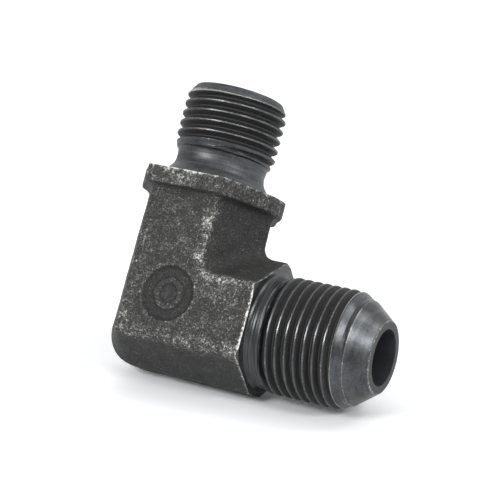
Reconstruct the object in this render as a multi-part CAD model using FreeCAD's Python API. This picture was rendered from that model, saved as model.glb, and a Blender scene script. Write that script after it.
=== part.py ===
# Hydraulic elbow adapter: one steel forging, turned and threaded at both ends.
# It lies as it comes to rest, on the lower rear facet of its hexagonal body.
# +X runs along the flare arm and +Z is up. The stud arm leans back over +Y.
# The origin is the point where the axes of the two arms cross.
import FreeCAD, Part
import math
import os

# Forged elbow: both arms share one hexagonal section, with a ridge in the plane of the bend
HEX_FLATS = 19.0
HEEL_RADIUS = 6.2
EDGE_ROUND = 1.0
CROTCH_ROUND = 1.8
FLARE_SHOULDER = 15.4

# Outline of the trimming die, which leaves a flat land on the outer ridge of both arms
TRIM_KEEL = 9.9
TRIM_BACK = 10.6
TRIM_RADIUS = 6.5

# Forged collar under the stud, with a flat land where the die trims the two corners in the bend plane
COLLAR_BOTTOM = 17.4
COLLAR_HEIGHT = 2.6
COLLAR_FLATS = 22.0
COLLAR_LAND_WIDTH = 4.2
COLLAR_ROUND = 0.5
COLLAR_FLARE = 1.0

# Corners turned off where a hexagon ends in a machined face
BEVEL_DEPTH = 0.7
BEVEL_ANGLE = 30.0

# Round pocket in the front face, with a plain raised ring in it
POCKET_ALONG_FLARE = 1.75
POCKET_ALONG_STUD = 1.45
POCKET_DIAMETER = 8.5
POCKET_DEPTH = 0.55
POCKET_SLOPE = 0.5
RING_DIAMETER = 4.8
RING_WIDTH = 0.9
RING_HEIGHT = 0.35

# Flare end: 18 mm thread of 1.5 mm pitch at its crests, and a cone of 37 degrees a side
FLARE_NECK_DIAMETER = 17.0
FLARE_NECK_LENGTH = 2.1
FLARE_THREAD_DIAMETER = 17.9
FLARE_THREAD_LENGTH = 10.8
FLARE_LEAD_LENGTH = 1.8
FLARE_LAND_DIAMETER = 15.8
FLARE_LAND_LENGTH = 0.7
FLARE_CONE_ANGLE = 37.0
FLARE_NOSE_DIAMETER = 11.0
FLARE_BORE = 8.2

# Stud end: 16 mm thread of 1.5 mm pitch at its crests, over a turned relief groove.
# The groove is measured from the crests, and so is the wider foot that it falls from.
STUD_BASE_RISE = 0.825
STUD_BASE_ANGLE = 35.0
STUD_RELIEF_DEPTH = 1.125
STUD_RELIEF_ROUND = 2.0
STUD_RUNOUT_ANGLE = 17.0
STUD_THREAD_DIAMETER = 15.95
STUD_THREAD_LENGTH = 6.8
STUD_TIP_DIAMETER = 13.9
STUD_TIP_LENGTH = 1.6
STUD_BORE = 8.2

# Features that both ends share
THREAD_BEVEL = 0.45
MOUTH_CHAMFER = 0.3
DRILL_PAST_CENTRE = 2.0
DRILL_POINT_ANGLE = 118.0

V = FreeCAD.Vector
ORIGIN = V(0, 0, 0)
ALONG_FLARE = V(1, 0, 0)
ACROSS = V(0, 1, 0)
ALONG_STUD = V(0, 0, 1)
OVERLAP = 2.0
NEAR = 0.01
HEX_SIDES = 6

# The facets beside a ridge slope this much, so the part leans back by as much to lie on one
facet_lean = 180.0 / HEX_SIDES
hex_corner = HEX_FLATS / 2 / math.cos(math.radians(facet_lean))
heel_pivot = hex_corner - HEEL_RADIUS
collar_top = COLLAR_BOTTOM + COLLAR_HEIGHT


def at(axis, along, radial, across=0.0):
    """A point by its place along an arm, off that arm in the bend plane, and across the plane."""
    if axis == ALONG_FLARE:
        return V(along, across, radial)
    return V(radial, across, along)


def loop_of(points):
    return Part.makePolygon(points + points[:1])


def hexagon(flats, axis, along):
    """A hexagon about an arm's axis, with two of its corners in the bend plane."""
    corner = flats / 2 / math.cos(math.radians(facet_lean))
    turns = [2 * math.pi * k / HEX_SIDES for k in range(HEX_SIDES)]
    return loop_of([at(axis, along, corner * math.cos(t), corner * math.sin(t)) for t in turns])


def hex_prism(flats, axis, start, end):
    return Part.Face(hexagon(flats, axis, start)).extrude(axis * (end - start))


def turned(axis, outline):
    """A solid turned about an arm's axis, from pairs of a place along it and a diameter."""
    points = [at(axis, along, diameter / 2) for along, diameter in outline]
    first = at(axis, outline[0][0], 0)
    last = at(axis, outline[-1][0], 0)
    return Part.Face(loop_of([first] + points + [last])).revolve(ORIGIN, axis, 360)


def rounded(solid, radius, wanted):
    return solid.makeFillet(radius, [edge for edge in solid.Edges if wanted(edge)])


def in_crotch(edge):
    """True for the edges where the inner facets of the two arms meet."""
    return all(abs(v.X - v.Z) < NEAR and v.X > 0 for v in edge.Vertexes)


def along_arms(edge):
    """True for the long edges of the blank, round the heel as well."""
    corners = edge.Vertexes
    stays_level = all(abs(v.Y - corners[0].Y) < NEAR for v in corners)
    on_flare_end = all(v.X > FLARE_SHOULDER - NEAR for v in corners)
    on_stud_end = all(v.Z > COLLAR_BOTTOM - NEAR for v in corners)
    return stays_level and not on_flare_end and not on_stud_end


def trimming_die():
    """All that the die leaves: its outline runs down the back, round the heel and along the keel."""
    reach = FLARE_SHOULDER + COLLAR_BOTTOM + HEX_FLATS
    kept = Part.makeBox(reach, 2 * HEX_FLATS, reach, V(-TRIM_BACK, -HEX_FLATS, -TRIM_KEEL))

    def at_heel(edge):
        return all(abs(v.X + TRIM_BACK) < NEAR and abs(v.Z + TRIM_KEEL) < NEAR for v in edge.Vertexes)

    return rounded(kept, TRIM_RADIUS, at_heel)


def elbow_blank():
    """The two hexagonal arms, joined at the heel by a quarter turn of their outer side."""
    flare_arm = hex_prism(HEX_FLATS, ALONG_FLARE, -heel_pivot, FLARE_SHOULDER)
    stud_arm = hex_prism(HEX_FLATS, ALONG_STUD, -heel_pivot, COLLAR_BOTTOM)
    outer_corner = V(-heel_pivot - HEX_FLATS, -HEX_FLATS, -heel_pivot)
    outer_side = Part.makeBox(HEX_FLATS, 2 * HEX_FLATS, OVERLAP, outer_corner)
    section = Part.Face(hexagon(HEX_FLATS, ALONG_STUD, -heel_pivot)).common(outer_side)
    heel = section.Faces[0].revolve(V(-heel_pivot, 0, -heel_pivot), -ACROSS, 90)
    blank = flare_arm.fuse([stud_arm, heel]).removeSplitter()
    blank = rounded(blank, CROTCH_ROUND, in_crotch)
    blank = rounded(blank, EDGE_ROUND, along_arms)
    return blank.common(trimming_die())


def bevelled(solid, axis, end, flats):
    """Turns the corners off a hexagonal end."""
    corner = flats / 2 / math.cos(math.radians(facet_lean))
    face_diameter = 2 * (corner - BEVEL_DEPTH)
    length = 2 * flats
    widening = 2 * length / math.tan(math.radians(BEVEL_ANGLE))
    return solid.common(turned(axis, [(end - length, face_diameter + widening), (end, face_diameter)]))


def trimmed_across(solid, reach):
    """Keeps what lies within a reach of the stud's axis, along the bend plane."""
    size = 2 * COLLAR_FLATS
    corner = V(-reach, -size / 2, COLLAR_BOTTOM - size / 2)
    return solid.common(Part.makeBox(2 * reach, size, size, corner))


def collar():
    """The hexagonal collar, on a root that flares out of the stud arm."""
    corner = COLLAR_FLATS / 2 / math.cos(math.radians(facet_lean))
    land = corner - COLLAR_LAND_WIDTH / 2 * math.tan(math.radians(facet_lean))
    flange = hex_prism(COLLAR_FLATS, ALONG_STUD, COLLAR_BOTTOM, collar_top)
    flange = trimmed_across(flange, land)
    flange = flange.makeFillet(COLLAR_ROUND, flange.Edges)
    flange = bevelled(flange, ALONG_STUD, collar_top, COLLAR_FLATS)
    foot = hexagon(HEX_FLATS, ALONG_STUD, COLLAR_BOTTOM - COLLAR_FLARE)
    brim = hexagon(COLLAR_FLATS - COLLAR_ROUND, ALONG_STUD, COLLAR_BOTTOM)
    root = trimmed_across(Part.makeLoft([foot, brim], True, True), land - COLLAR_ROUND / 2)
    return root.fuse(flange)


def pocket():
    """What is sunk into the front face: a shallow dish, less the raised ring that stands in it."""
    middle = V(POCKET_ALONG_FLARE, -HEX_FLATS / 2, POCKET_ALONG_STUD)
    rim = POCKET_DIAMETER / 2
    dish = Part.makeCone(rim, rim - POCKET_SLOPE, POCKET_DEPTH, middle, ACROSS)
    ring_foot = middle + ACROSS * (POCKET_DEPTH - RING_HEIGHT)
    ring = Part.makeCylinder(RING_DIAMETER / 2, RING_HEIGHT, ring_foot, ACROSS)
    hollow = Part.makeCylinder(RING_DIAMETER / 2 - RING_WIDTH, RING_HEIGHT, ring_foot, ACROSS)
    return dish.cut(ring.cut(hollow))


def flare_end():
    """Neck, thread at its crests, lead-in, land and cone. Returns the solid and where it ends."""
    thread_start = FLARE_SHOULDER + FLARE_NECK_LENGTH
    thread_end = thread_start + FLARE_THREAD_LENGTH
    lead_end = thread_end + FLARE_LEAD_LENGTH
    cone_start = lead_end + FLARE_LAND_LENGTH
    cone_drop = (FLARE_LAND_DIAMETER - FLARE_NOSE_DIAMETER) / 2
    tip = cone_start + cone_drop / math.tan(math.radians(FLARE_CONE_ANGLE))
    return turned(ALONG_FLARE, [
        (0, FLARE_NECK_DIAMETER),
        (thread_start, FLARE_NECK_DIAMETER),
        (thread_start + THREAD_BEVEL, FLARE_THREAD_DIAMETER),
        (thread_end, FLARE_THREAD_DIAMETER),
        (lead_end, FLARE_LAND_DIAMETER),
        (cone_start, FLARE_LAND_DIAMETER),
        (tip, FLARE_NOSE_DIAMETER),
    ]), tip


def stud_end():
    """Relief groove, thread at its crests and tip chamfer. Returns the solid and where it ends."""
    base_diameter = STUD_THREAD_DIAMETER + 2 * STUD_BASE_RISE
    relief_diameter = STUD_THREAD_DIAMETER - 2 * STUD_RELIEF_DEPTH
    base_drop = STUD_BASE_RISE + STUD_RELIEF_DEPTH
    relief = collar_top + base_drop / math.tan(math.radians(STUD_BASE_ANGLE))
    thread_start = relief + STUD_RELIEF_DEPTH / math.tan(math.radians(STUD_RUNOUT_ANGLE))
    thread_end = thread_start + STUD_THREAD_LENGTH
    tip = thread_end + STUD_TIP_LENGTH
    solid = turned(ALONG_STUD, [
        (0, relief_diameter),
        (COLLAR_BOTTOM, relief_diameter),
        (COLLAR_BOTTOM, base_diameter),
        (collar_top, base_diameter),
        (relief, relief_diameter),
        (thread_start, STUD_THREAD_DIAMETER),
        (thread_end, STUD_THREAD_DIAMETER),
        (tip, STUD_TIP_DIAMETER),
    ])

    def in_relief(edge):
        return all(abs(v.Z - relief) < NEAR for v in edge.Vertexes)

    return rounded(solid, STUD_RELIEF_ROUND, in_relief), tip


def bore(axis, diameter, mouth):
    """A drilled hole from an arm's mouth to just past the crossing, chamfered at the mouth."""
    point_length = diameter / 2 / math.tan(math.radians(DRILL_POINT_ANGLE / 2))
    return turned(axis, [
        (-DRILL_PAST_CENTRE - point_length, 0),
        (-DRILL_PAST_CENTRE, diameter),
        (mouth - MOUTH_CHAMFER, diameter),
        (mouth, diameter + 2 * MOUTH_CHAMFER),
        (mouth + OVERLAP, diameter + 2 * MOUTH_CHAMFER),
    ])


def elbow_adapter():
    flare, flare_tip = flare_end()
    stud, stud_tip = stud_end()
    forging = bevelled(elbow_blank(), ALONG_FLARE, FLARE_SHOULDER, HEX_FLATS)
    adapter = forging.fuse([collar(), flare, stud])
    adapter = adapter.cut(pocket())
    adapter = adapter.cut(bore(ALONG_FLARE, FLARE_BORE, flare_tip))
    adapter = adapter.cut(bore(ALONG_STUD, STUD_BORE, stud_tip))
    adapter = adapter.removeSplitter()
    adapter.rotate(ORIGIN, ALONG_FLARE, -facet_lean)
    return adapter.Solids[0]


os.makedirs("parts", exist_ok=True)
elbow_adapter().exportStep("parts/elbow_adapter.step")
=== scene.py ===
import math
from collections import namedtuple

import bmesh
import bpy
import numpy as np
from mathutils import Matrix, Vector


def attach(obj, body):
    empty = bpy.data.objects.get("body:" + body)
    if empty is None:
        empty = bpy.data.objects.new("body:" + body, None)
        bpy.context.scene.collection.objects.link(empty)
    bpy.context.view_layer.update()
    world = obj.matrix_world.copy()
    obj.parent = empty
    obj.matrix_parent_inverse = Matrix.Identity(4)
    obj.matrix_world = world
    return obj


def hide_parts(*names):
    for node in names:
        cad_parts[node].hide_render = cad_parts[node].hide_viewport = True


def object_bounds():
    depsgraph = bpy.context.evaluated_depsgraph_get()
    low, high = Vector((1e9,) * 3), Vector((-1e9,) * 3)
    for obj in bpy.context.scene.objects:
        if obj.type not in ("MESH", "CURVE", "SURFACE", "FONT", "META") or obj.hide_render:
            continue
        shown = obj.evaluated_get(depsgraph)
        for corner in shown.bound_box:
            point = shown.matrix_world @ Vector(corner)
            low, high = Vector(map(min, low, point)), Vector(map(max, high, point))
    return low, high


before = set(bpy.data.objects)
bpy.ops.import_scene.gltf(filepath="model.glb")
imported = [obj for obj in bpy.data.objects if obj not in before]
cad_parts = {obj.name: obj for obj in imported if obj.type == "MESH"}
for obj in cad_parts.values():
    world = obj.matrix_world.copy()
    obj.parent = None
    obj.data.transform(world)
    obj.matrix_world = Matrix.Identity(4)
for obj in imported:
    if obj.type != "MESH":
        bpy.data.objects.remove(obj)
cad_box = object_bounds()

# Lengths are in millimetres, in the plane of the bend: the flare arm runs along x, the stud arm
# along z, and the marked face looks along -y. LEAN turns that into the frame of the part.
MM = 0.001
LEAN_ANGLE = math.radians(30.0)
LEAN = Matrix.Rotation(-LEAN_ANGLE, 4, "X")
FLOOR_Z = cad_box[0][2]

# The forged body: a hexagonal bar that runs round a bend. The heel turns about the line where x and z
# are -PIVOT. The ridges outside the bend are trimmed flat at KEEL under the flare arm and at BACK
# behind the stud arm. STOCK is left past the machined faces, and the scale takes a thin, dented skin.
HALF_FLATS = 9.5
PIVOT = 4.77
EDGE_ROUND = 1.0
CROTCH_ROUND = 1.9
KEEL = 9.9
BACK = 10.6
TRIM_ROUND = 6.5
TRIM_EDGE = 0.3
SHOULDER = 15.4
STOCK = 1.0
SCALE_LOSS = 0.05
DEEPEST_DENT = 0.2
COS_30 = math.cos(math.radians(30))
SIN_60 = math.sin(math.radians(60))

# The collar under the stud: a larger hexagon, whose ridges in the plane of the bend are flat lands.
COLLAR_LOW = 17.3
COLLAR_TOP = 20.0
COLLAR_HALF = 11.0
COLLAR_ROUND = 0.45
COLLAR_LAND = 11.44
LAND_EDGE = 0.4
LOWER_EDGE = 0.5
COLLAR_FILLET = 1.1

# The round pocket in the front face: its place, and its profile as (y, radius). A plain ring
# stands on its floor.
POCKET = (1.75, 1.45)
POCKET_FLOOR = -8.90
POCKET_WALL = [(-12.0, 4.5), (-9.46, 4.30), (-9.30, 4.13), (-9.02, 3.90), (-8.93, 3.75), (POCKET_FLOOR, 3.5)]
RING_OUTSIDE = [(POCKET_FLOOR, 2.75), (-8.94, 2.58), (-9.20, 2.42), (-9.27, 2.32)]
RING_INSIDE = [(-9.27, 1.62), (-9.20, 1.50), (-8.94, 1.34), (POCKET_FLOOR, 1.2)]

# How far a thread's flank lies under the crest, from the middle of a crest to the middle of a
# groove, for a pitch of PROFILE_PITCH. Other pitches stretch it. CREST_BLEND rounds the edge between
# a groove and the crest.
PROFILE_PITCH = 1.5
FLANK = [
    (0.08, 0.0), (0.14, 0.07), (0.22, 0.18), (0.32, 0.36),
    (0.44, 0.55), (0.57, 0.76), (0.66, 0.86), (0.75, 0.88),
]
CREST_TO_ROOT = [(-offset, depth) for offset, depth in reversed(FLANK)] + FLANK
CREST_BLEND = 0.08
GROOVE_FADE = 0.5

# A thread lies between start and end, on an outline of (place, radius). Its crests are at shift and
# whole pitches from it. Its groove deepens over runout from the start, and fades over GROOVE_FADE to
# nothing at stop.
Thread = namedtuple("Thread", "pitch shift start end runout stop outline")
FLARE_THREAD = Thread(
    pitch=1.5, shift=18.1, start=17.5, end=30.1, runout=0.75, stop=30.0,
    outline=[
        (17.5, 8.5), (17.95, 8.95), (28.35, 8.95),
        (28.75, 8.87), (29.2, 8.67), (29.65, 8.36), (30.1, 8.0),
    ],
)
STUD_THREAD = Thread(
    pitch=1.577, shift=26.07, start=24.6, end=34.82, runout=0.9, stop=34.2,
    outline=[
        (24.6, 7.2), (24.75, 7.42), (25.4, 7.62), (26.2, 7.9),
        (26.5, 7.975), (33.27, 7.975), (34.82, 6.97),
    ],
)

# The turned shapes beside the threads, as (place, radius). Three fine rings stand on the neck.
NECK = [
    (15.2, 9.0), (15.42, 8.84), (15.62, 8.62), (15.85, 8.51),
    (16.0, 8.5), (16.1, 8.56), (16.2, 8.5),
    (16.5, 8.49), (16.6, 8.55), (16.72, 8.49),
    (17.0, 8.5), (17.1, 8.57), (17.2, 8.5), (17.5, 8.5),
]
NOSE = 33.985
CONE = [(30.1, 8.0), (30.75, 7.90), (30.85, 7.83), (30.95, 7.755), (33.94, 5.53), (NOSE, 5.46)]
RELIEF = [
    (COLLAR_TOP, 8.8), (21.35, 7.75), (21.75, 7.42), (22.2, 7.18),
    (22.75, 7.02), (23.3, 7.0), (23.9, 7.04), (24.5, 7.14),
]
TIP = 34.865
TIP_EDGE = [(34.82, 6.97), (TIP, 6.93)]

# The bores: each widens a little towards its mouth.
BORE = 4.1
BORE_END = -2.0
MOUTH_DEPTH = 1.2
MOUTH_FLARE = 0.24
DRILL_HALF_ANGLE = math.radians(59)

# How finely the meshes are made.
CELL = 0.36
SPOKES = 224


# The forging, as a field that is negative inside the metal.

def ridge(a, b, r):
    """Two planes whose normals are 60 degrees apart, with their edge rounded."""
    a, b = a + r, b + r
    at_edge = (a > 0.5 * b) & (b > 0.5 * a)
    off_edge = np.sqrt(np.maximum(a * a + b * b - a * b, 0.0)) / SIN_60
    return np.where(at_edge, off_edge, np.maximum(a, b)) - r


def outside_corner(a, b, r):
    """What lies inside both of two fields, with their outer corner rounded."""
    return np.minimum(np.maximum(a, b), -r) + np.hypot(np.maximum(a + r, 0), np.maximum(b + r, 0))


def inside_corner(a, b, r):
    """What lies inside either of two fields, with their inner corner filled."""
    return np.maximum(np.minimum(a, b), r) - np.hypot(np.maximum(r - a, 0), np.maximum(r - b, 0))


def facets(y, u, half, r):
    """The two sloped faces of a hexagonal bar that meet in the plane of the bend, u off its axis."""
    near = 0.5 * np.abs(y) + COS_30 * u - half
    far = -0.5 * np.abs(y) + COS_30 * u - half
    return ridge(near, far, r)


def smooth(t):
    """0 below 0 and 1 above 1, with a soft step between."""
    t = np.clip(t, 0.0, 1.0)
    return t * t * (3 - 2 * t)


def close_to(t, centre, width):
    """1 where t is at the centre, and falling to 0 over about twice the width."""
    return np.exp(-((t - centre) / width) ** 2)


def waves(p, count, shortest, longest, seed):
    """A smooth random field of about unit size, from plane waves in all directions."""
    rng = np.random.default_rng(seed)
    total = np.zeros(len(p))
    for _ in range(count):
        d = rng.normal(size=3)
        d *= 2 * math.pi / (np.linalg.norm(d) * rng.uniform(shortest, longest))
        total += np.sin(p @ d + rng.uniform(0, 2 * math.pi))
    return total / math.sqrt(count / 2)


def forging(p):
    """The bent hexagonal bar with its collar, and the small dents of scale and hammering."""
    x, y, z = p.T
    side = np.abs(y) - HALF_FLATS
    heel = PIVOT + np.hypot(np.maximum(-x - PIVOT, 0), np.maximum(-z - PIVOT, 0))
    outer = facets(y, heel, HALF_FLATS, EDGE_ROUND)
    inner_stud = facets(y, x, HALF_FLATS, EDGE_ROUND)
    inner_flare = facets(y, z, HALF_FLATS, EDGE_ROUND)
    inner = inside_corner(inner_flare, inner_stud, CROTCH_ROUND)
    arms = ridge(np.where((x > 0) & (z > 0), inner, outer), side, EDGE_ROUND)
    arms = outside_corner(arms, outside_corner(-x - BACK, -z - KEEL, TRIM_ROUND), TRIM_EDGE)
    collar = facets(y, np.abs(x), COLLAR_HALF, COLLAR_ROUND)
    collar = ridge(collar, np.abs(y) - COLLAR_HALF, COLLAR_ROUND)
    collar = outside_corner(collar, np.abs(x) - COLLAR_LAND, LAND_EDGE)
    collar = outside_corner(collar, COLLAR_LOW - z, LOWER_EDGE)
    body = inside_corner(arms, collar, COLLAR_FILLET)
    body = np.maximum(body, np.maximum(x - SHOULDER - STOCK, z - COLLAR_TOP - STOCK))
    dents = 0.028 * waves(p, count=28, shortest=3.2, longest=8.0, seed=11)
    dents += 0.011 * waves(p, count=60, shortest=1.1, longest=2.2, seed=12)
    return body + np.clip(SCALE_LOSS + dents, 0.0, DEEPEST_DENT)


def net(field, low, high, step):
    """A surface net round the field's zero: its corners, and its faces of four corners."""
    low = np.array(low, float)
    n = np.ceil((np.array(high, float) - low) / step).astype(int) + 1
    axes = [low[i] + step * np.arange(n[i]) for i in range(3)]
    grid = np.stack(np.meshgrid(*axes, indexing="ij"), -1).reshape(-1, 3)
    pieces = np.array_split(grid, 12)
    value = np.concatenate([field(piece) for piece in pieces]).reshape(n)
    inside = value < 0

    def corner(a, c):
        return a[c[0]:n[0] - 1 + c[0], c[1]:n[1] - 1 + c[1], c[2]:n[2] - 1 + c[2]]

    # a cell that the surface passes through has one corner of the net, in the middle of the cuts
    corners = [(i, j, k) for i in (0, 1) for j in (0, 1) for k in (0, 1)]
    filled = sum(corner(inside.astype(int), c) for c in corners)
    active = (filled > 0) & (filled < len(corners))
    number = -np.ones(active.shape, int)
    number[active] = np.arange(active.sum())
    total, hits = np.zeros((active.sum(), 3)), np.zeros(active.sum())
    for c in corners:
        for axis in range(3):
            if c[axis]:
                continue
            d = list(c)
            d[axis] = 1
            v0, v1 = corner(value, c)[active], corner(value, d)[active]
            crossed = (v0 < 0) != (v1 < 0)
            place = np.tile(np.array(c, float), (crossed.sum(), 1))
            place[:, axis] += v0[crossed] / (v0[crossed] - v1[crossed])
            total[crossed] += place
            hits[crossed] += 1
    points = low + step * (np.argwhere(active) + total / hits[:, None])

    # each edge of the grid that the surface crosses has one face, between the four cells round it
    faces = []
    for axis in range(3):
        u, v = (axis + 1) % 3, (axis + 2) % 3
        first = [slice(1, -1)] * 3
        first[axis] = slice(0, -1)
        second = [slice(1, -1)] * 3
        second[axis] = slice(1, None)
        a, b = inside[tuple(first)], inside[tuple(second)]
        at = np.argwhere(a != b)
        out = a[a != b]
        at[:, u] += 1
        at[:, v] += 1
        ring = []
        for du, dv in ((-1, -1), (0, -1), (0, 0), (-1, 0)):
            cell = at.copy()
            cell[:, u] += du
            cell[:, v] += dv
            ring.append(number[tuple(cell.T)])
        ring = np.stack(ring, 1)
        ring[~out] = ring[~out][:, ::-1]
        faces.append(ring)
    return points, np.concatenate(faces)


def settle(points, faces, field, rounds):
    """Evens out the net and puts its corners on the field's zero. The last two rounds only do the latter."""
    edges = np.concatenate([faces[:, [0, 1]], faces[:, [1, 2]], faces[:, [2, 3]], faces[:, [3, 0]]])
    edges = np.unique(np.sort(edges, 1), axis=0)
    both = np.concatenate([edges, edges[:, ::-1]])
    degree = np.bincount(both[:, 0], minlength=len(points))
    nudge, least_slope = 0.01, 0.2
    for turn in range(rounds):
        if turn < rounds - 2:
            sums = [np.bincount(both[:, 0], points[both[:, 1], i], len(points)) for i in range(3)]
            mean = np.stack(sums, 1) / degree[:, None]
            points = points + 0.5 * (mean - points)
        steps = nudge * np.eye(3)
        slope = np.stack([(field(points + s) - field(points - s)) / (2 * nudge) for s in steps], 1)
        size = np.maximum((slope ** 2).sum(1), least_slope)
        points = points - (field(points) / size)[:, None] * slope
    return points


# Turned shapes.

def placed(name, mesh, material):
    """A new object of a mesh, in the scene."""
    mesh.materials.append(material)
    o = bpy.data.objects.new(name, mesh)
    bpy.context.scene.collection.objects.link(o)
    return o


def spun(name, axis, rows, material):
    """A closed turned shape. Each row is (place along the axis, radius), as numbers or a value a spoke.

    A row of a thread also says how many rows on the same line goes on after a full turn. Both ends
    are closed by a flat disc, so a point has a very small last radius."""
    turn = 2 * math.pi * np.arange(SPOKES) / SPOKES
    c, s = np.cos(turn), np.sin(turn)
    points, faces = [], []
    for row in rows:
        along, radius = np.broadcast_to(row[0], SPOKES), np.broadcast_to(row[1], SPOKES)
        if axis == "x":
            points.append(np.stack([along, radius * c, radius * s], 1))
        elif axis == "y":
            points.append(np.stack([radius * s, along, radius * c], 1))
        else:
            points.append(np.stack([radius * c, radius * s, along], 1))
    k = np.arange(SPOKES)
    leads = [row[2] if len(row) > 2 else 0 for row in rows]
    for i in range(len(rows) - 1):
        lead = min(leads[i], leads[i + 1])
        after = i * SPOKES + k + 1
        after[-1] += (lead - 1) * SPOKES
        keep = SPOKES if lead == 0 or leads[min(i + 1 + lead, len(rows) - 1)] else SPOKES - 1
        faces.append(np.stack([i * SPOKES + k, after, after + SPOKES, (i + 1) * SPOKES + k], 1)[:keep])
    mesh = bpy.data.meshes.new(name)
    last = (len(rows) - 1) * SPOKES
    polygons = [list(map(int, f)) for f in np.concatenate(faces)]
    polygons += [list(range(SPOKES))[::-1], list(range(last, last + SPOKES))]
    mesh.from_pydata((np.concatenate(points) * MM).tolist(), [], polygons)
    if max(leads):
        # rows of a thread that are cut off at its ends fall together there
        shape = bmesh.new()
        shape.from_mesh(mesh)
        bmesh.ops.remove_doubles(shape, verts=shape.verts, dist=2e-7)
        shape.to_mesh(mesh)
        shape.free()
    mesh.validate()
    return placed(name, mesh, material)


def soft_least(a, b, r):
    """The lower of two heights, with the edge where they meet rounded off."""
    return np.minimum(a, b) - np.maximum(r - np.abs(a - b), 0.0) ** 2 / (4 * r)


def threaded(thread):
    """The rows of a right-hand thread, cut into its outline."""
    turn = np.arange(SPOKES) / SPOKES
    first = int(math.floor((thread.start - thread.shift) / thread.pitch)) - 1
    last = int(math.ceil((thread.end - thread.shift) / thread.pitch)) + 1
    marks, radii = zip(*thread.outline)
    profile = CREST_TO_ROOT[:-1]
    rows = []
    for number in range(first, last + 1):
        for offset, depth in profile:
            along = thread.shift + thread.pitch * (number + turn + offset / PROFILE_PITCH)
            along = np.clip(along, thread.start, thread.end)
            deep = depth * smooth((along - thread.start) / thread.runout)
            deep = deep * smooth((thread.stop - along) / GROOVE_FADE)
            radius = soft_least(np.interp(along, marks, radii), max(radii) - deep, CREST_BLEND)
            rows.append((along, radius, len(profile)))
    return rows


def finer(outline, step):
    """An outline with its long straight runs divided, as rows."""
    rows = [outline[0]]
    for (a, ra), (b, rb) in zip(outline, outline[1:]):
        n = max(1, int(math.ceil(math.hypot(b - a, rb - ra) / step)))
        rows += [(a + (b - a) * t / n, ra + (rb - ra) * t / n) for t in range(1, n + 1)]
    return rows


def cut(base, cutter, operation):
    """Changes the base by an exact boolean with the cutter, which is used up."""
    m = base.modifiers.new(operation, "BOOLEAN")
    m.operation = operation
    m.object = cutter
    m.solver = "EXACT"
    m.material_mode = "TRANSFER"
    made = bpy.data.meshes.new_from_object(base.evaluated_get(bpy.context.evaluated_depsgraph_get()))
    base.modifiers.clear()
    base.data = made
    bpy.data.objects.remove(cutter)


# Materials.

class Nodes:
    """Short names for the making of a node tree."""

    def __init__(self, tree):
        self.tree = tree

    def add(self, kind, **settings):
        node = self.tree.nodes.new(kind)
        for key, value in settings.items():
            setattr(node, key, value)
        return node

    def put(self, node, socket, value):
        if isinstance(value, bpy.types.NodeSocket):
            self.tree.links.new(value, node.inputs[socket])
        else:
            node.inputs[socket].default_value = value

    def maths(self, operation, a, b=0.0, clamp=False):
        node = self.add("ShaderNodeMath", operation=operation, use_clamp=clamp)
        self.put(node, 0, a)
        self.put(node, 1, b)
        return node.outputs[0]

    def plus(self, first, *others):
        for value in others:
            first = self.maths("ADD", first, value)
        return first

    def times(self, a, b):
        return self.maths("MULTIPLY", a, b)

    def most(self, a, b):
        return self.maths("MAXIMUM", a, b)

    def length(self, a, b):
        return self.maths("SQRT", self.plus(self.times(a, a), self.times(b, b)))

    def swing(self, noise, size):
        """A noise about 0.5, as a swing about 0."""
        return self.times(self.maths("SUBTRACT", noise, 0.5), size)

    def ramp(self, value, low, high, a=0.0, b=1.0):
        """A soft step from a to b, while the value goes from low to high."""
        node = self.add("ShaderNodeMapRange", interpolation_type="SMOOTHSTEP")
        sockets = ("Value", "From Min", "From Max", "To Min", "To Max")
        for socket, v in zip(sockets, (value, low, high, a, b)):
            self.put(node, socket, v)
        return node.outputs["Result"]

    def parts(self, vector):
        node = self.add("ShaderNodeSeparateXYZ")
        self.put(node, 0, vector)
        return node.outputs

    def seen(self):
        """1 for what the camera sees, also as a reflection or through glass, and otherwise 0."""
        path = self.add("ShaderNodeLightPath").outputs
        return self.most(self.most(path["Is Camera Ray"], path["Is Glossy Ray"]), path["Is Transmission Ray"])


class Material(Nodes):
    """A material, whose textures are placed in the plane of the bend."""

    def __init__(self, name):
        self.material = bpy.data.materials.new(name)
        self.material.use_nodes = True
        super().__init__(self.material.node_tree)
        self.shader = self.tree.nodes["Principled BSDF"]
        upright = self.add("ShaderNodeMapping")
        self.put(upright, "Rotation", (LEAN_ANGLE, 0, 0))
        self.put(upright, "Vector", self.add("ShaderNodeTexCoord").outputs["Object"])
        self.place = upright.outputs["Vector"]

    def noise(self, per_mm, detail=2.0, rough=0.5, at=None):
        node = self.add("ShaderNodeTexNoise")
        self.put(node, "Vector", at or self.place)
        self.put(node, "Scale", per_mm / MM)
        self.put(node, "Detail", detail)
        self.put(node, "Roughness", rough)
        return node.outputs["Fac"]

    def blend(self, amount, a, b):
        node = self.add("ShaderNodeMix", data_type="RGBA")
        self.put(node, 0, amount)
        self.put(node, 6, a)
        self.put(node, 7, b)
        return node.outputs[2]

    def attribute(self, name):
        return self.add("ShaderNodeAttribute", attribute_name=name).outputs["Fac"]

    def bump(self, height, distance, strength, after=None):
        node = self.add("ShaderNodeBump")
        self.put(node, "Height", height)
        self.put(node, "Distance", distance * MM)
        self.put(node, "Strength", strength)
        if after:
            self.put(node, "Normal", after)
        return node.outputs["Normal"]

    def shade(self, **sockets):
        for socket, value in sockets.items():
            self.put(self.shader, socket.replace("_", " "), value)
        return self.material


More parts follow.
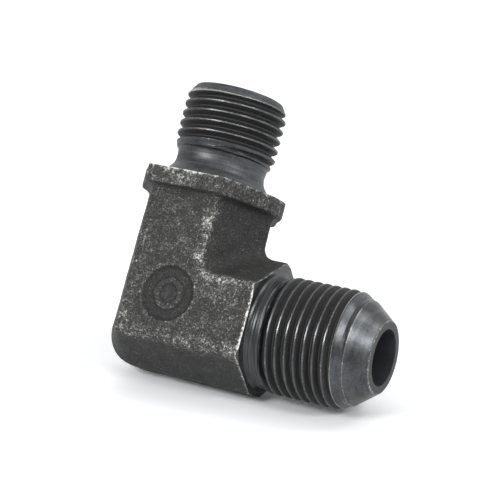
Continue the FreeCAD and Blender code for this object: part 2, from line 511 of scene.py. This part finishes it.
def forged_steel():
    """Black scale with a fine grain, rubbed bare in small scratches and specks, most of all on the edges, and
    with a painted highlight on the pocket's rim.
    """
    n = Material("forged_steel")
    wear_and_painted_highlight = n.attribute("wear_and_painted_highlight")
    clouds = n.noise(0.16, 3.0, 0.6)
    patches = n.noise(0.45, 3.0, 0.6)
    lumps = n.noise(0.75, 3.0, 0.6)
    fine = n.noise(3.2, 4.0, 0.78)
    grain = n.noise(6.5, 1.0, 0.5)

    # where the metal is bare: fine specks, denser where it is worn and where a highlight is painted, and
    # along thin veins
    off_vein = n.maths("ABSOLUTE", n.maths("SUBTRACT", n.noise(2.4, 3.0, 0.7), 0.5))
    veins = n.ramp(off_vein, 0.0, 0.028, 0.13, 0.0)
    clumps = n.ramp(n.noise(1.5, 3.0, 0.65), 0.34, 0.66, 0.07, 0.17)
    density = n.plus(n.times(wear_and_painted_highlight, clumps), n.swing(patches, 0.34), n.swing(clouds, 0.10))
    density = n.plus(fine, density, veins)
    bare_and_painted_highlight = n.ramp(density, 0.727, 0.885)
    rubbed_and_painted_highlight = n.ramp(density, 0.52, 0.76)

    scale = n.blend(clouds, (0.013, 0.0132, 0.013, 1), (0.020, 0.020, 0.0195, 1))
    scale = n.blend(n.ramp(grain, 0.42, 0.68), scale, (0.040, 0.040, 0.039, 1))
    scale = n.blend(rubbed_and_painted_highlight, scale, (0.075, 0.075, 0.072, 1))
    normal = n.bump(lumps, 0.10, 0.9)
    normal = n.bump(fine, 0.05, 0.9, normal)
    normal = n.bump(grain, 0.02, 0.8, normal)
    return n.shade(
        Base_Color=n.blend(bare_and_painted_highlight, scale, (0.50, 0.495, 0.47, 1)),
        Metallic=n.ramp(bare_and_painted_highlight, 0.0, 1.0, 0.0, 0.6),
        Roughness=n.ramp(bare_and_painted_highlight, 0.0, 1.0, 0.60, 0.46),
        Specular_IOR_Level=0.20,
        Normal=normal,
    )


def turned_steel(name, axis, tint, rough, lined=None):
    """Turned faces: streaks round the axis, blued, and worn brighter along edges and crests, where some of
    the brightness is painted highlight.

    Up to the two places in lined, between which this fades, it is darker, with fine lines round it."""
    n = Material(name)
    x, y, z = n.parts(n.place)
    along, a, b = (x, y, z) if axis == "x" else (z, x, y)
    radius = n.length(a, b)

    def streaks(fast, slow, detail):
        """A noise that changes quickly along the axis and the radius, and slowly round the axis."""
        line = n.add("ShaderNodeCombineXYZ")
        n.put(line, 0, n.times(n.plus(along, radius), fast))
        n.put(line, 1, n.times(a, slow))
        n.put(line, 2, n.times(b, slow))
        return n.noise(1.0, detail, 0.65, at=line.outputs[0])

    rings = streaks(3.4, 0.16, 3.0)
    bands = streaks(0.8, 0.10, 2.0)
    scratches = streaks(0.35, 2.4, 2.0)
    clouds = n.noise(0.30, 3.0, 0.6)
    fine = n.noise(3.4, 2.0, 0.6)
    wear_and_painted_highlight = n.attribute("wear_and_painted_highlight")
    groove = n.attribute("groove")

    # the blued face, and darker deep in the grooves
    pale = tuple(1.45 * c for c in tint) + (1,)
    deep = tuple(0.6 * c for c in tint) + (1,)
    mix = n.plus(rings, n.times(clouds, 0.35), n.times(n.plus(scratches, fine), 0.35))
    colour = n.blend(n.ramp(mix, 0.72, 1.33), deep, pale)
    metal = n.ramp(groove, 0.05, 0.35, 0.85, 0.4)
    if lined:
        here = n.ramp(along, lined[0] * MM, lined[1] * MM, 1.0, 0.0)
        lines = n.ramp(streaks(2.2, 0.12, 3.0), 0.36, 0.64)
        colour = n.blend(here, colour, n.blend(lines, (0.022, 0.023, 0.024, 1), (0.054, 0.056, 0.058, 1)))
        metal = n.maths("SUBTRACT", metal, n.times(here, 0.4), clamp=True)
    colour = n.blend(n.ramp(groove, 0.04, 0.24, 0.0, 0.9), colour, (0.024, 0.023, 0.022, 1))

    # edges that are rubbed paler in patches, with bright specks on them, and a painted highlight and painted
    # sheen on some edges and crests
    patches = n.times(n.noise(1.1, 3.0, 0.65), 0.7)
    rubbed_and_painted_highlight = n.ramp(n.plus(n.times(wear_and_painted_highlight, 0.42), patches), 0.42, 0.85)
    colour = n.blend(n.times(rubbed_and_painted_highlight, wear_and_painted_highlight), colour, (0.20, 0.20, 0.19, 1))
    bright = n.ramp(n.plus(fine, n.times(wear_and_painted_highlight, 0.24)), 0.74, 0.86)
    colour = n.blend(bright, colour, (0.40, 0.40, 0.38, 1))

    gloss = n.ramp(n.plus(bands, n.times(clouds, 0.25)), 0.42, 0.82, *rough)
    normal = n.bump(rings, 0.014, 0.7)
    return n.shade(
        Base_Color=colour,
        Metallic=metal,
        Roughness=n.most(gloss, n.ramp(groove, 0.03, 0.25, 0.0, 0.62)),
        Normal=n.bump(fine, 0.006, 0.5, normal),
        Anisotropic=0.45,
        Tangent=n.add("ShaderNodeTangent", direction_type="UV_MAP", uv_map="turning").outputs[0],
    )


def bore_steel():
    """The drilled bores: satin, with no streaks."""
    n = Material("bored_steel")
    clouds = n.noise(0.5, 2.0, 0.5)
    colour = n.blend(clouds, (0.045, 0.047, 0.052, 1), (0.070, 0.072, 0.078, 1))
    return n.shade(Base_Color=colour, Metallic=0.7, Roughness=0.45, Normal=n.bump(clouds, 0.03, 0.5))


FORGED = forged_steel()
FLARE = turned_steel("turned_flare_end", "x", (0.064, 0.067, 0.071), (0.24, 0.37), lined=(17.4, 17.9))
STUD = turned_steel("turned_stud_end", "z", (0.068, 0.072, 0.076), (0.33, 0.50))
DRILLED = bore_steel()


# The adapter.

def forged_body():
    """The forging as a mesh, with some metal left past the faces that are machined."""
    points, faces = net(forging, (-14.5, -12.5, -12.5), (18.0, 12.5, 22.5), CELL)
    points = settle(points, faces, forging, rounds=7)
    mesh = bpy.data.meshes.new("elbow_adapter_steel")
    mesh.from_pydata((points * MM).tolist(), [], faces.tolist())
    mesh.validate()
    return placed("elbow_adapter_steel", mesh, FORGED)


def face_off(body, name, axis, face, radius, depth, material):
    """Machines an arm off at a face, and turns the hexagon's corners off there at 30 degrees."""
    far, wide = -40, 60
    corner = radius + depth / math.tan(math.radians(30))
    rows = [(far, wide), (face - depth, wide), (face - depth, corner), (face, radius)]
    cut(body, spun(name, axis, rows, material), "INTERSECT")


def sink_pocket(body):
    """The round pocket in the front face, and the plain ring that stands in it."""
    rows = POCKET_WALL + RING_OUTSIDE + RING_INSIDE + [(POCKET_FLOOR, 0.05)]
    cutter = spun("pocket", "y", rows, FORGED)
    cutter.location = Vector((POCKET[0], 0, POCKET[1])) * MM
    cut(body, cutter, "DIFFERENCE")


def add_flare_end(body):
    """The neck, the thread, the cone and the nose, on a core that starts inside the body."""
    rows = [(12.0, 8.8)] + NECK + threaded(FLARE_THREAD) + finer(CONE + [(NOSE, 3.0)], 0.4)
    cut(body, spun("flare_end", "x", rows, FLARE), "UNION")


def add_stud_end(body):
    """The relief, the thread and the tip, on a core that starts inside the collar."""
    rows = [(18.5, 8.8)] + finer(RELIEF, 0.35) + threaded(STUD_THREAD) + finer(TIP_EDGE + [(TIP, 3.0)], 0.5)
    cut(body, spun("stud_end", "z", rows, STUD), "UNION")


def drill(body, axis, mouth):
    """A bore from a mouth to just past the other bore, with the point that a drill leaves."""
    point, past = BORE / math.tan(DRILL_HALF_ANGLE), 0.4
    rows = [(BORE_END - point + 0.01, 0.01), (BORE_END, BORE)]
    rows += [(mouth - MOUTH_DEPTH, BORE), (mouth + past, BORE + MOUTH_FLARE)]
    cut(body, spun("bore", axis, rows, DRILLED), "DIFFERENCE")


def mesh_arrays(me):
    """The place of each vertex, the vertex at each corner of a face, and the corners of each face."""
    co = np.zeros(len(me.vertices) * 3, np.float32)
    me.vertices.foreach_get("co", co)
    corner = np.zeros(len(me.loops), np.int32)
    me.loops.foreach_get("vertex_index", corner)
    sizes = np.zeros(len(me.polygons), np.int32)
    me.polygons.foreach_get("loop_total", sizes)
    return co.reshape(-1, 3).astype(float) / MM, corner, sizes


def thread_marks(thread, along, a, b):
    """For points near a thread, how close they are to the edges of its crest and how deep in its groove."""
    radius = np.hypot(a, b)
    marks, radii = zip(*thread.outline)
    crest = max(radii)
    surface = np.interp(along, marks, radii)
    turn = (along - thread.shift) / thread.pitch - np.arctan2(b, a) / (2 * math.pi)
    offset = PROFILE_PITCH * (turn - np.round(turn))
    depth = np.interp(offset, *zip(*CREST_TO_ROOT)) * smooth((thread.stop - along) / GROOVE_FADE)
    lack = depth - (crest - surface)
    here = (along > thread.start + 0.7) & (along < thread.end - 0.6)
    here &= (radius < crest + 0.1) & (radius > crest - 1.3)
    taper = max(place for place, r in thread.outline if r == crest)
    width = np.where(along > taper + 0.1, 0.17, 0.09)
    return here * close_to(lack, 0, width), here * np.clip((surface - radius) / 0.8, 0, 1)


def forged_wear_and_painted_highlight(x, y, z):
    """How bare the forged faces are, and where a highlight is painted on them."""
    # along the edges of the front and back face, most inside the bend, less in its crotch
    side = np.abs(y) - HALF_FLATS
    heel = PIVOT + np.hypot(np.maximum(-x - PIVOT, 0), np.maximum(-z - PIVOT, 0))
    u = np.where(np.minimum(x, z) > -PIVOT, np.maximum(-x, -z), heel)
    u = np.maximum(u, np.minimum(x, z))
    facet = 0.5 * np.abs(y) + COS_30 * u - HALF_FLATS
    edge = np.sqrt(np.maximum(side ** 2 + facet ** 2 - side * facet, 0)) / SIN_60
    inner = (np.minimum(x, z) > 0) * 1.0
    wear_and_painted_highlight = (1.25 + 0.5 * inner - 0.35 * (x < -3.5) * (z > -2)) * close_to(edge, 0, 1.45 - 0.35 * inner)
    crotch = np.exp(-((x - 5.5) ** 2 + (z - 5.5) ** 2) / 2.5)
    wear_and_painted_highlight *= 1 - 0.45 * crotch - 0.5 * smooth((z - 14.3) / 2.2)

    # on the flat of the front and back face, more towards the flare end
    flat = 0.6 * smooth((-facet - 0.2) / 1.2) + 0.16 * smooth((x - 5) / 4)
    wear_and_painted_highlight += close_to(side, 0, 0.5) * flat

    # on the collar, less at its ends, and along the rims of the machined faces
    off_flare, off_stud = np.hypot(y, z) > 9.2, np.hypot(x, y) > 9.2
    collar = 1.2 - 0.35 * smooth((x - 1) / 4) - 0.45 * smooth((-x - 8.0) / 2.0)
    wear_and_painted_highlight = np.where((z > COLLAR_LOW + 0.2) & off_stud, collar, wear_and_painted_highlight)
    wear_and_painted_highlight += 2.1 * smooth((x - SHOULDER + 0.6) / 0.5) * off_flare
    wear_and_painted_highlight += 1.4 * smooth((z - COLLAR_TOP + 0.40) / 0.35) * off_stud

    # the pocket is darker, its rim is painted brighter all round as a painted highlight of its lit bevel, and
    # its raised ring is worn
    from_pocket = np.where(y < -8.5, np.hypot(x - POCKET[0], z - POCKET[1]), 99)
    wear_and_painted_highlight = np.where(from_pocket < 4.2, -0.1, wear_and_painted_highlight + 0.6 * close_to(from_pocket, 4.5, 0.4))
    return np.where((from_pocket < 2.5) & (from_pocket > 1.4) & (y < -9.1), 0.6, wear_and_painted_highlight)


def turned_wear_and_painted_highlight(x, y, z):
    """How bright the turned faces are rubbed, with painted highlights, and how deep they lie in a thread."""
    flare_edge, flare_deep = thread_marks(FLARE_THREAD, x, y, z)
    stud_edge, stud_deep = thread_marks(STUD_THREAD, z, x, y)
    wear_and_painted_highlight = 0.45 * flare_edge + 0.6 * stud_edge

    # the last crest at either end, but not where the flare end's groove runs out; on the flare end's last
    # crest most of this is a painted highlight, on top of its wear
    wear_and_painted_highlight += 1.6 * flare_edge * smooth((x - 28.3) / 0.3)
    wear_and_painted_highlight *= 1 - smooth((x - 29.05) / 0.2) * smooth((z - 2) / 2)
    wear_and_painted_highlight += 1.2 * stud_edge * smooth((z - 33.1) / 0.2) * smooth((33.8 - z) / 0.2)
    wear_and_painted_highlight += 1.5 * close_to(z, 33.3, 0.22) * (np.hypot(x, y) > 7.8)

    # a painted highlight along the edge of the cone, a painted sheen on the land before it that lightens its
    # dark reflection, and the nose, whose face is a little dull
    wear_and_painted_highlight += 0.85 * close_to(x, 30.85, 0.07) + 0.3 * close_to(x, 30.5, 0.3)
    wear_and_painted_highlight += 0.85 * close_to(x, NOSE - 0.025, 0.09) * (np.hypot(y, z) > 5.2)
    return wear_and_painted_highlight, flare_deep + stud_deep + 0.18 * (x > NOSE - 0.015)


def mark_wear_and_painted_highlight(o):
    """How worn bright each corner of each face is, with the painted highlights, and how deep it lies in a
    thread.
    """
    me = o.data
    places, corner, sizes = mesh_arrays(me)
    forged = forged_wear_and_painted_highlight(*places.T)
    turned, groove = turned_wear_and_painted_highlight(*places.T)
    slots = np.zeros(len(me.polygons), np.int32)
    me.polygons.foreach_get("material_index", slots)
    is_forged = np.repeat(slots, sizes) == me.materials.find(FORGED.name)
    wear_and_painted_highlight = np.where(is_forged, forged[corner], turned[corner])
    # this attribute holds both real wear and painted highlights
    for name, value in (("wear_and_painted_highlight", wear_and_painted_highlight), ("groove", groove[corner])):
        layer = me.attributes.new(name, "FLOAT", "CORNER")
        layer.data.foreach_set("value", value.astype(np.float32))


def unroll(o):
    """A map whose u runs round the axis of each turned end, for the grain that turning leaves.

    One unit of u is a full turn, and one of v is about as long, as measured on a crest."""
    me = o.data
    layer = me.uv_layers.new(name="turning")
    places, corner, sizes = mesh_arrays(me)
    p = places[corner]
    owner = np.repeat(np.arange(len(sizes)), sizes)
    middle = np.stack([np.bincount(owner, p[:, i], len(sizes)) for i in range(3)], 1) / sizes[:, None]
    flare = middle[:, 0] > middle[:, 2]
    full_turn = 56.0

    def angle(q, on_flare):
        return np.arctan2(np.where(on_flare, q[:, 2], q[:, 1]), np.where(on_flare, q[:, 1], q[:, 0]))

    start = angle(middle, flare)[owner]
    turn = angle(p, flare[owner]) - start
    turn = start + (turn + math.pi) % (2 * math.pi) - math.pi
    along = np.where(flare[owner], p[:, 0], p[:, 2])
    uv = np.stack([turn / (2 * math.pi), along / full_turn], 1)
    layer.data.foreach_set("uv", uv.astype(np.float32).ravel())


adapter = forged_body()
face_off(adapter, "flare_keep", "x", SHOULDER, 10.27, 1.0, FLARE)
face_off(adapter, "stud_keep", "z", COLLAR_TOP, 12.5, 0.8, STUD)
sink_pocket(adapter)
add_flare_end(adapter)
add_stud_end(adapter)
drill(adapter, "x", NOSE)
drill(adapter, "z", TIP)
mark_wear_and_painted_highlight(adapter)
unroll(adapter)
adapter.data.shade_smooth()
adapter.data.set_sharp_from_angle(angle=math.radians(28))
adapter.data.transform(LEAN)
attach(adapter, "root")
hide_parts("elbow_adapter")


# Floor, light and camera.

def floor_material():
    """Pale, and lit up where it is seen, but with a painted shadow under and beside the object, where its
    glow is turned down.
    """
    n = Material("pale_floor")
    painted_shadow_middle, painted_shadow_half, painted_shadow_turn = (14.8 * MM, -5.7 * MM, 0), 15.3 * MM, math.radians(7.7)
    under = n.add("ShaderNodeMapping", vector_type="TEXTURE")
    n.put(under, "Vector", n.add("ShaderNodeTexCoord").outputs["Object"])
    n.put(under, "Location", painted_shadow_middle)
    n.put(under, "Rotation", (0, 0, painted_shadow_turn))
    along, across, _ = n.parts(under.outputs[0])
    past = n.most(n.maths("SUBTRACT", n.maths("ABSOLUTE", along), painted_shadow_half), 0.0)
    gap_to_painted_shadow = n.length(past, across)
    # painted shadow: no glow under and beside the object, rising to the full glow 13.3 mm away from it
    glow_round_painted_shadow = n.ramp(gap_to_painted_shadow, 0.0, 13.3 * MM, 0.0, 0.31)
    far_glow = n.ramp(gap_to_painted_shadow, 150 * MM, 800 * MM, 0.0, 0.32)
    return n.shade(
        Base_Color=(0.92, 0.94, 0.95, 1),
        Roughness=0.5,
        Emission_Color=(1, 1, 1, 1),
        Emission_Strength=n.times(n.seen(), n.plus(glow_round_painted_shadow, far_glow)),
    )


def pale_floor():
    """A wide square sheet under the object."""
    half = 6.0
    corners = [(-half, -half, 0), (half, -half, 0), (half, half, 0), (-half, half, 0)]
    mesh = bpy.data.meshes.new("floor")
    mesh.from_pydata(corners, [], [(0, 1, 2, 3)])
    o = placed("floor", mesh, floor_material())
    o.location.z = FLOOR_Z
    return o


def lamp(name, azimuth, elevation, distance, size, watts):
    """A round area lamp that faces the object, azimuth degrees round from the front."""
    middle = Vector((0.008, 0.004, 0.006))
    light = bpy.data.lights.new(name, "AREA")
    light.shape = "DISK"
    light.size = size
    light.energy = watts
    o = bpy.data.objects.new(name, light)
    bpy.context.scene.collection.objects.link(o)
    a, e = math.radians(azimuth), math.radians(elevation)
    back = Vector((math.sin(a) * math.cos(e), -math.cos(a) * math.cos(e), math.sin(e)))
    o.location = middle + back * distance
    o.rotation_euler = back.to_track_quat("Z", "Y").to_euler()


def studio():
    """A room that is white where it is seen, dimmer in front of the object, and soft as a light."""
    world = bpy.data.worlds.new("studio")
    world.use_nodes = True
    n = Nodes(world.node_tree)
    background = n.tree.nodes["Background"]
    _, backwards, _ = n.parts(n.add("ShaderNodeTexCoord").outputs["Generated"])
    room = n.ramp(backwards, -0.5, 0.3, 0.30, 1.0)
    shown = n.most(n.add("ShaderNodeLightPath").outputs["Is Camera Ray"], room)
    n.put(background, "Color", (1, 1, 1, 1))
    n.put(background, "Strength", n.ramp(n.seen(), 0.0, 1.0, 0.40, shown))
    return world


def photo_camera():
    """The camera of the photograph."""
    view = bpy.data.cameras.new("camera")
    view.lens = 139.99
    view.sensor_width = 36.0
    view.clip_start = 0.01
    view.clip_end = 20.0
    o = bpy.data.objects.new("camera", view)
    bpy.context.scene.collection.objects.link(o)
    o.location = (0.135386, -0.242338, 0.109946)
    o.rotation_euler = (1.226428, -0.030220, 0.483459)
    return o


floor = pale_floor()
lamp("key", azimuth=-22, elevation=36, distance=0.55, size=0.18, watts=1.9)
lamp("side", azimuth=68, elevation=37, distance=0.55, size=0.14, watts=1.3)
lamp("back", azimuth=122, elevation=50, distance=0.6, size=0.20, watts=0.6)
bpy.context.scene.world = studio()
bpy.context.scene.camera = photo_camera()
bpy.context.scene.view_settings.view_transform = "Standard"

bpy.context.view_layer.update()
